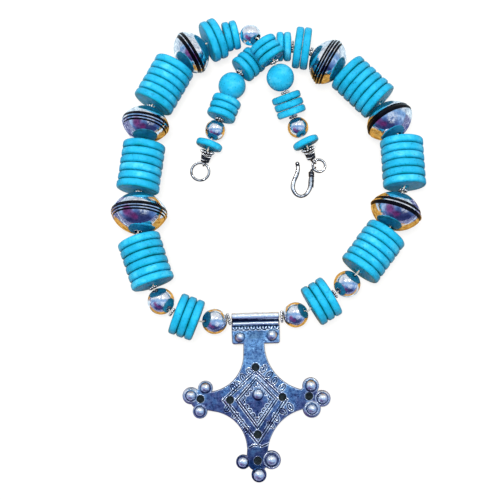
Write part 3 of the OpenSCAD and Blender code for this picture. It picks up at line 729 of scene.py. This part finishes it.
def relief_sheet(bm, wear_and_shade_of):
    """The cast body: its front on a fine grid cut to the outline, with its walls and back."""
    xs, ys = [np.arange(*ends, CELL) for ends in GRID]
    grid = np.stack(np.meshgrid(xs, ys, indexing="ij"), -1).reshape(-1, 2)
    depth = depth_inside(grid)
    step = 0.01
    slope = np.stack([depth_inside(grid + shift) - depth for shift in ([step, 0], [0, step])], -1) / step
    # Points close to the outline move onto it, so that no sliver is left there.
    close = abs(depth) < 0.3 * CELL
    grid[close] -= slope[close] * depth[close, None]
    depth[close] = 0
    index = np.arange(len(grid)).reshape(len(xs), len(ys))
    cells = np.stack([index[:-1, :-1], index[1:, :-1], index[1:, 1:], index[:-1, 1:]], -1).reshape(-1, 4)
    cells = cells[(depth[cells] > 0).any(1)]
    # Cells that the outline crosses keep only their part inside it.
    points, cuts, faces = list(grid), {}, []
    for cell in cells.tolist():
        face = []
        for a, b in zip(cell, cell[1:] + cell[:1]):
            if depth[a] >= 0:
                face.append(a)
            if depth[a] * depth[b] < 0:
                edge = (min(a, b), max(a, b))
                if edge not in cuts:
                    cuts[edge] = len(points)
                    points.append(grid[a] + (grid[b] - grid[a]) * depth[a] / (depth[a] - depth[b]))
                face.append(cuts[edge])
        if len(face) > 2:
            faces.append(face)
    used = sorted({i for face in faces for i in face})
    flat = np.array([points[i] for i in used])
    height, wear = relief(flat)
    verts = {}
    for i, (x, y), z, w in zip(used, flat, height, wear):
        verts[i] = bm.verts.new(on_pendant(x, y, z))
        verts[i][wear_and_shade_of] = w
    for face in faces:
        bm.faces.new([verts[i] for i in face])
    # The walls go straight down from the outline, and one flat face closes the back.
    plan = {verts[i]: p for i, p in zip(used, flat)}
    rim = [e for e in bm.edges if len(e.link_faces) == 1]
    bmesh.ops.extrude_edge_only(bm, edges=rim)
    for v in [v for v in bm.verts if v not in plan]:
        top = next(e.other_vert(v) for e in v.link_edges if e.other_vert(v) in plan)
        v.co = on_pendant(*plan[top], 0)
        v[wear_and_shade_of] = -0.4
    bmesh.ops.triangle_fill(bm, edges=[e for e in bm.edges if len(e.link_faces) == 1], use_beauty=False)


# Silver cast and worn: scratched metal, black in the chasing and bright on the burrs. Its blue
# grey is painted reflection. The scratches are drawn coarser than real ones, so that they show.
cast_silver, tree, shader, where = new_material("cast_silver_chased", {"Metallic": 1.0})
# Besides wear, the attribute carries painted shade: the black under the tube, on its near side and round the
# domes.
wear = add(tree, "Attribute", {"attribute_name": "wear"}).outputs["Fac"]
place = add(tree, "SeparateXYZ", links={0: where})
patches = add(tree, "TexNoise", {"Scale": grain(7), "Detail": 5.0, "Roughness": 0.6}, {"Vector": where})
fine = add(tree, "TexNoise", {"Scale": grain(1.3), "Detail": 4.0, "Roughness": 0.75}, {"Vector": where})
# Painted reflection: the blue is darker towards the foot than it is below the tube.
along = add(tree, "MapRange", {"From Min": -115 * MM, "From Max": -45 * MM, "To Min": -0.6,
                               "To Max": -0.05}, {"Value": place.outputs["Y"]})
drift = add(tree, "Math", {"operation": "MULTIPLY_ADD", 1: 1.3}, {0: patches, 2: along})
painted_reflection = add(tree, "ValToRGB", {"stops": [(0.05, "#3A5A84"), (0.22, "#72749C"), (0.42, "#82A4C8"),
                                        (0.68, "#B0DCF8")]}, {"Fac": drift})
speckle = add(tree, "ValToRGB", {"stops": [(0.38, "#4A5884"), (0.48, "#B8C6E0"), (0.58, "#FFFFFF")]},
              {"Fac": fine})
speckled_reflection = add(tree, "Mix", {"blend_type": "MULTIPLY", 0: 0.8}, {6: painted_reflection, 7: speckle})
black = add(tree, "MapRange", {"From Min": 0.0, "From Max": -0.6}, {"Value": wear})
blackened_and_shaded = add(tree, "Mix", {7: linear("#0C1330")}, {0: black, 6: speckled_reflection})
bright = add(tree, "MapRange", {"From Min": 0.1, "From Max": 0.8}, {"Value": wear})
worn = add(tree, "Mix", {7: linear("#F6FAFF")}, {0: bright, 6: blackened_and_shaded})
rough = add(tree, "MapRange", {"To Min": 0.18, "To Max": 0.42}, {"Value": fine})
scratches = add(tree, "TexNoise", {"Scale": grain(0.7), "Detail": 6.0, "Distortion": 2.0}, {"Vector": where})
bump = add(tree, "Bump", {"Strength": 1.0, "Distance": 0.08 * MM}, {"Height": scratches})
join(shader, {"Base Color": worn, "Roughness": rough, "Normal": bump})

# Dull black plugs deep in the pierced holes: painted shade.
painted_shade, tree, shader, where = new_material("painted_shade_hole_plug", {"Roughness": 0.85})
plug_mottle = add(tree, "TexNoise", {"Scale": grain(0.8), "Detail": 4.0}, {"Vector": where})
shade = add(tree, "ValToRGB", {"stops": [(0.35, "#080C10"), (0.7, "#1E2A30")]}, {"Fac": plug_mottle})
bump = add(tree, "Bump", {"Strength": 0.8, "Distance": 0.1 * MM}, {"Height": plug_mottle})
join(shader, {"Base Color": shade, "Normal": bump})

SOLDER = 0.6                 # width of the solder round a dome
DOME_WEAR_AND_SHADE = (0, 0.15, 0.1, -0.1, -0.5, 0.1, 0.6)     # wear from the solder up, with painted shade low on the dome; the rest is polished
LOW_DOME, RISE = 2.4, 0.35   # the other domes sit higher than those of radius LOW_DOME
TUBE_R, TUBE_BORE_R, TUBE_HALF, TUBE_EDGE = 1.9, 1.2, 11.5, 0.2
TUBE_RINGS = 47              # rings along its outside
bm = bmesh.new()
wear_and_shade_of = bm.verts.layers.float.new("wear")
relief_sheet(bm, wear_and_shade_of)
up = (on_pendant(0, 0, 1) - on_pendant(0, 0, 0)).normalized()
for at, r in [(lobe[0], lobe[2]) for lobe in LOBES] + DOMES:
    seat = on_pendant(*at, PLATE + (0 if r == LOW_DOME else RISE))
    foot = [(-0.8, 0), (-0.8, r + SOLDER), (0.05, r + SOLDER), (0.16, r + SOLDER / 2), (0.4, r + 0.08)]
    profile = foot + arc((0, 0), r, 75, 0, 12)[:-1] + [(r, 0)]
    rings = turned(bm, (seat, up), from_mm(profile), 40, uneven=0.15 * MM, closed=False)
    for k, ring in enumerate(rings):
        for v in ring:
            v[wear_and_shade_of] = DOME_WEAR_AND_SHADE[k] if k < len(DOME_WEAR_AND_SHADE) else 1
tube = on_pendant(*TUBE_AT, TUBE_RISE), (on_pendant(1, 0, 0) - on_pendant(0, 0, 0)).normalized()
slim, end = TUBE_R - TUBE_EDGE, TUBE_HALF - TUBE_EDGE
profile = ([(x, TUBE_R) for x in np.linspace(-end, end, TUBE_RINGS)]
           + [(TUBE_HALF, slim), (TUBE_HALF, TUBE_BORE_R), (-TUBE_HALF, TUBE_BORE_R), (-TUBE_HALF, slim)])
rings = turned(bm, tube, from_mm(profile), uneven=0.1 * MM)
# The tube's near side is painted black as shade; the rest of it is polished bright.
for v in [v for ring in rings[:TUBE_RINGS] for v in ring]:
    v[wear_and_shade_of] = -1 if tube[0].y - v.co.y > 0.75 * TUBE_R * MM else 1
# A black plug deep in each pierced hole, painted shade.
for x, y in HOLES:
    profile = [(0.4, 0), (0.4, HOLE_R + 0.1), (0.9, HOLE_R + 0.1), (0.75, HOLE_R * 0.7), (0.6, 0)]
    turned(bm, (on_pendant(x, y, 0), up), from_mm(profile), 24, [1] * 4, closed=False)
piece("pendant_cross_cast", bm, [cast_silver, painted_shade], "pendant_cross", sharp=48)


# Clasp
# A hook of polished silver wire, hammered flat, on a jump ring, and a plain ring of wire
# at the other end. Fine wire is wound round the hook's shank.

# Drawn silver wire, polished: bright, with a slight pull along its length, and painted black as shade below
# and up its sides.
wire_silver = silver("drawn_silver_wire", "#E2E8F2", "#FFFFFF", 0.15, 0.03, 1.5, 0.004,
                     painted_shade_below=1.12, metallic=0.75)
HOOK_WIRE = 0.65             # half the hook's thickness
# Route of the hook's wire from its eye to the tip, with its width there: x, y, z, width.
HOOK = [(21.8, 38, 1.5, 1.5), (21.8, 36.4, 1.4, 1.7), (21.5, 33.4, 1.1, 2.3), (21.1, 29.8, 0.9, 2.2),
        (19.3, 26.5, 0.7, 1.8), (16.5, 25.2, 0.7, 1.6), (13.8, 26.5, 0.7, 1.8), (12.4, 29.6, 0.9, 2.1),
        (12.9, 32.9, 1.0, 2.1), (14.4, 36.4, 1.1, 2.1), (15.1, 39.6, 1.1, 1.9), (14.8, 42.1, 1.1, 1.7)]
HOOK_SIDE = 212              # degrees, where the hook holds the jump ring
TIP = 1.1                    # radius of the ball at the tip
COILS, COIL_AT, COIL_STEP = 4, (21.8, 37.3, 1.5), 0.62       # wire wound round the shank
# Beaded wire beside the shank, the plain wire under it, and two loose granules with their radii.
BEADED, BEAD_R = [(22.75, 35.3, 1.2), (22.85, 33, 1.1), (22.5, 29.9, 0.9)], 0.34
UNDER_WIRE = (22.75, 35.3, 0.95), (22.5, 29.7, 0.75)
GRANULES = [((22.3, 38.3, 2.2), 0.6), ((21.6, 35.2, 2.1), 0.5)]


def smoothed(points, steps):
    """A smooth curve through points of any number of columns."""
    p = np.array([points[0], *points, points[-1]], float)
    k = np.linspace(0, 1, steps, endpoint=False)[:, None]
    curves = [0.5 * (2 * b + (c - a) * k + (2 * a - 5 * b + 4 * c - d) * k * k
                     + (3 * b - a - 3 * c + d) * k ** 3) for a, b, c, d in zip(p, p[1:], p[2:], p[3:])]
    return np.concatenate(curves + [p[-1:]])


def swept(bm, route, thick):
    """Adds a wire along a route of x, y, z and width, its flat side level with the surface."""
    rings = []
    for i, row in enumerate(route):
        way = Vector((route[min(i + 1, len(route) - 1)] - route[max(i - 1, 0)])[:3]).normalized()
        side = way.cross(Vector((0, 0, 1))).normalized()
        up = side.cross(way)
        rings.append([bm.verts.new((Vector(row[:3]) + side * row[3] / 2 * math.cos(turn)
                                    + up * thick * math.sin(turn)) * MM) for turn in angles(16)])
    skin(bm, rings, closed=False)
    bm.faces.new(rings[0])
    bm.faces.new(rings[-1])


for node in ("clasp_ring", "jump_ring"):
    spot = solids_of(node)[0]
    bm = bmesh.new()
    wire_ring(bm, spot, spot[3] - STEM * MM, STEM * MM, 20, 96, uneven=0.05 * MM)
    piece(f"{node}_drawn", bm, [wire_silver], node)

bm = bmesh.new()
route = smoothed(HOOK, 8)
swept(bm, route, HOOK_WIRE)
tip = Vector(route[-1][:3]) * MM
granule(bm, tip, TIP * MM)
way = Vector((route[-1] - route[-4])[:3]).normalized()
wire_ring(bm, (tip - way * TIP * MM, way), 0.85 * MM, 0.25 * MM, sides=24, mark=1)
back = eye(bm, JUMP_AT, JUMP_RADIUS, HOOK_SIDE)
rod(bm, Vector(route[0][:3]) * MM, back, STEM * MM)
for k in range(COILS):
    coil = (Vector(COIL_AT) - Vector((0, k * COIL_STEP, 0))) * MM
    wire_ring(bm, (coil, Vector((0.1, 1, 0)).normalized()), 1.15 * MM, 0.33 * MM, mark=k % 2)
for at in smoothed(BEADED, 5):
    granule(bm, Vector(at) * MM, BEAD_R * MM)
rod(bm, *[Vector(at) * MM for at in UNDER_WIRE], 0.3 * MM, 1)
for at, r in GRANULES:
    granule(bm, Vector(at) * MM, r * MM)
piece("hook_hammered", bm, [wire_silver, black_silver], "hook")


# Light, surface and camera
# A plain pale surface under one broad soft light. The sky round it is what the silver
# mirrors: blue overhead, pale to the far side and deep blue to the near side.

world = bpy.data.worlds.new("soft_sky")
bpy.context.scene.world = world
world.use_nodes = True
tree = world.node_tree
tree.nodes.clear()
direction = add(tree, "TexCoord").outputs["Generated"]
depth = add(tree, "SeparateXYZ", links={0: direction}).outputs["Y"]
span = add(tree, "MapRange", {"From Min": -0.8, "From Max": 0.8}, {"Value": depth})
sky = add(tree, "ValToRGB", {"stops": [
    (0.0, "#343E70"), (0.12, "#5A7EBA"), (0.22, "#90B4E2"), (0.33, "#B4D0F0"), (0.43, "#88B0E0"),
    (0.51, "#8CBCEA"), (0.58, "#BCD6EC"), (0.7, "#F4F6F8"), (1.0, "#E8ECEE")]}, {"Fac": span})


def near(toward, start, end, most):
    """How near the sky's directions are to one of them, growing from start to end."""
    away = add(tree, "VectorMath", {"operation": "DISTANCE", 1: toward}, {0: direction})
    return add(tree, "MapRange", {"interpolation_type": "SMOOTHSTEP", "From Min": start, "From Max": end,
                                  "To Max": most}, {"Value": away})


# Above the near side the sky has two plum patches on the left and white glitter on the right.
for toward, size, code in [((-0.68, -0.5, 0.54), 0.5, "#8A3A7C"), ((-0.25, -0.84, 0.48), 0.34, "#70306C")]:
    share = near(toward, size, size * 0.3, 0.9)
    sky = add(tree, "Mix", {7: linear(code)}, {0: share, 6: sky})
wisps = add(tree, "TexNoise", {"Scale": 7.0, "Detail": 5.0, "Roughness": 0.6, "Distortion": 0.4},
            {"Vector": direction})
streaks = add(tree, "ValToRGB", {"stops": [(0.38, "#8890A8"), (0.55, "#FFFFFF")]}, {"Fac": wisps})
sky = add(tree, "Mix", {"blend_type": "MULTIPLY", 0: 0.7}, {6: sky, 7: streaks})
glints = add(tree, "TexNoise", {"Scale": 14.0, "Detail": 3.0}, {"Vector": direction})
glitter = add(tree, "ValToRGB", {"stops": [(0.48, "#000000"), (0.58, "#FFFFFF")]}, {"Fac": glints})
share = near((0.4, -0.5, 0.77), 0.5, 0.2, 1.0)
share = add(tree, "Math", {"operation": "MULTIPLY"}, {0: share, 1: glitter})
sky = add(tree, "Mix", {7: linear("#F0F6FF")}, {0: share, 6: sky})
mirrored = add(tree, "Background", {"Strength": 1.15}, {"Color": sky})
fill_colour = add(tree, "ValToRGB", {"stops": [(0.1, "#8A93A4"), (0.6, "#EEF2F6")]}, {"Fac": span})
fill = add(tree, "Background", {"Strength": 0.62}, {"Color": fill_colour})
ray = add(tree, "LightPath")
both = add(tree, "MixShader", links={0: ray.outputs["Is Glossy Ray"], 1: fill, 2: mirrored})
add(tree, "OutputWorld", links={"Surface": both})


def soft_light(name, place, size, power, colour, mirrored):
    """A square soft light that looks at the middle of the necklace."""
    light = bpy.data.lights.new(name, "AREA")
    light.size = size
    light.energy = power
    light.color = linear(colour)[:3]
    obj = shown(name, light)
    obj.location = place
    obj.rotation_euler = (-Vector(place)).to_track_quat("-Z", "Y").to_euler()
    obj.visible_glossy = mirrored


soft_light("window", (-0.08, -0.05, 1.0), 0.4, 13.5, "#FFF8EC", False)
for name, x in (("lamp_left", -0.25), ("lamp_right", 0.27)):
    soft_light(name, (x, 0.36, 0.8), 0.06, 0.8, "#FFFFFF", True)

bm = bmesh.new()
bmesh.ops.create_grid(bm, x_segments=1, y_segments=1, size=2.0)
mesh = bpy.data.meshes.new("surface")
bm.to_mesh(mesh)
bm.free()
surface = shown("surface", mesh)
# Matt white card that glows evenly toward the camera, as on a light table, so that hardly a
# shadow shows on it. To mirrored rays only it is painted warm on the near side of each bead,
# pale beyond and dusky outside, a painted reflection mottled in soft clouds.
card, tree, shader, where = new_material("matt_white_card", {
    "Roughness": 0.9, "Specular IOR Level": 0.1, "Emission Color": linear("#FFFFFF")})
ray = add(tree, "LightPath")
depth = add(tree, "SeparateXYZ", links={0: where}).outputs["Y"]


def oval(x, y, wide, deep):
    """Whether a place on the surface is in an ellipse: its middle and half sizes, in mm."""
    moved = add(tree, "Mapping", {"Location": (-x / wide, -y / deep, 0.0),
                                  "Scale": (1 / (wide * MM), 1 / (deep * MM), 1.0)}, {"Vector": where})
    far = add(tree, "VectorMath", {"operation": "LENGTH"}, {0: moved})
    return add(tree, "MapRange", {"From Min": 1.04, "From Max": 0.96}, {"Value": far})


def any_of(masks):
    """Where at least one of the masks is white."""
    found = masks[0]
    for mask in masks[1:]:
        found = add(tree, "Math", {"operation": "MAXIMUM"}, {0: found, 1: mask})
    return found


necklace = any_of([oval(0, -20, 84, 112), oval(0, -5, 104, 26)])
outside = add(tree, "Math", {"operation": "SUBTRACT", 0: 1.0}, {1: necklace})
inner = any_of([oval(-14, 20, 24, 30), oval(-50, 23, 60, 11), oval(-28, 62, 12, 10)])
# Bands across the card, from the near side to the far side of the necklace.
share = add(tree, "MapRange", {"From Min": -0.1, "From Max": 0.1}, {"Value": depth})
BAND = [(0.31, "#000000"), (0.33, "#FFFFFF"), (0.36, "#FFFFFF"), (0.38, "#000000")]
beyond, apart = [add(tree, "ValToRGB", {"stops": stops}, {"Fac": share}) for stops in (
    BAND + [(0.81, "#000000"), (0.83, "#FFFFFF")], [(0.19, "#FFFFFF"), (0.21, "#000000")] + BAND)]
cooled, beyond = any_of([outside, apart, inner]), any_of([beyond, inner])
reflection_mottle = add(tree, "TexNoise", {"Scale": grain(5), "Detail": 5.0, "Roughness": 0.65}, {"Vector": where})
warm, dusk, pale = [add(tree, "ValToRGB", {"stops": stops}, {"Fac": reflection_mottle}) for stops in (
    [(0.36, "#6E4414"), (0.47, "#A8782E"), (0.6, "#CCA45C")],
    [(0.38, "#22204A"), (0.52, "#5A6090"), (0.64, "#D0D8E8")],
    [(0.35, "#5A7086"), (0.5, "#B0C4D2"), (0.62, "#E8F0F4")])]
cool = add(tree, "Mix", {}, {0: beyond, 6: dusk, 7: pale})
patch = add(tree, "Mix", {}, {0: cooled, 6: warm, 7: cool})
tint = add(tree, "Mix", {6: linear("#A8A4A0")}, {0: ray.outputs["Is Glossy Ray"], 7: patch})
seen = add(tree, "Mix", {7: linear("#707070")}, {0: ray.outputs["Is Camera Ray"], 6: tint})
glow = add(tree, "Math", {"operation": "MULTIPLY", 1: 0.8}, {0: ray.outputs["Is Camera Ray"]})
join(shader, {"Base Color": seen, "Emission Strength": glow})
mesh.materials.append(card)

# The photograph's view: nearly straight down, from the pendant's side.
LENS_MM, SENSOR_MM = 72, 36
TILT = 11                    # degrees from straight down
HEIGHT = 490 * MM
AIM = Vector((-9.2, -2.2, 0)) * MM
camera_data = bpy.data.cameras.new("camera")
camera_data.lens = LENS_MM
camera_data.sensor_width = SENSOR_MM
camera_data.clip_start = 0.01
camera = shown("camera", camera_data)
camera.location = AIM + Vector((0, -HEIGHT * math.tan(math.radians(TILT)), HEIGHT))
camera.rotation_euler = (math.radians(TILT), 0, 0)
bpy.context.scene.camera = camera
bpy.context.scene.view_settings.view_transform = "Standard"
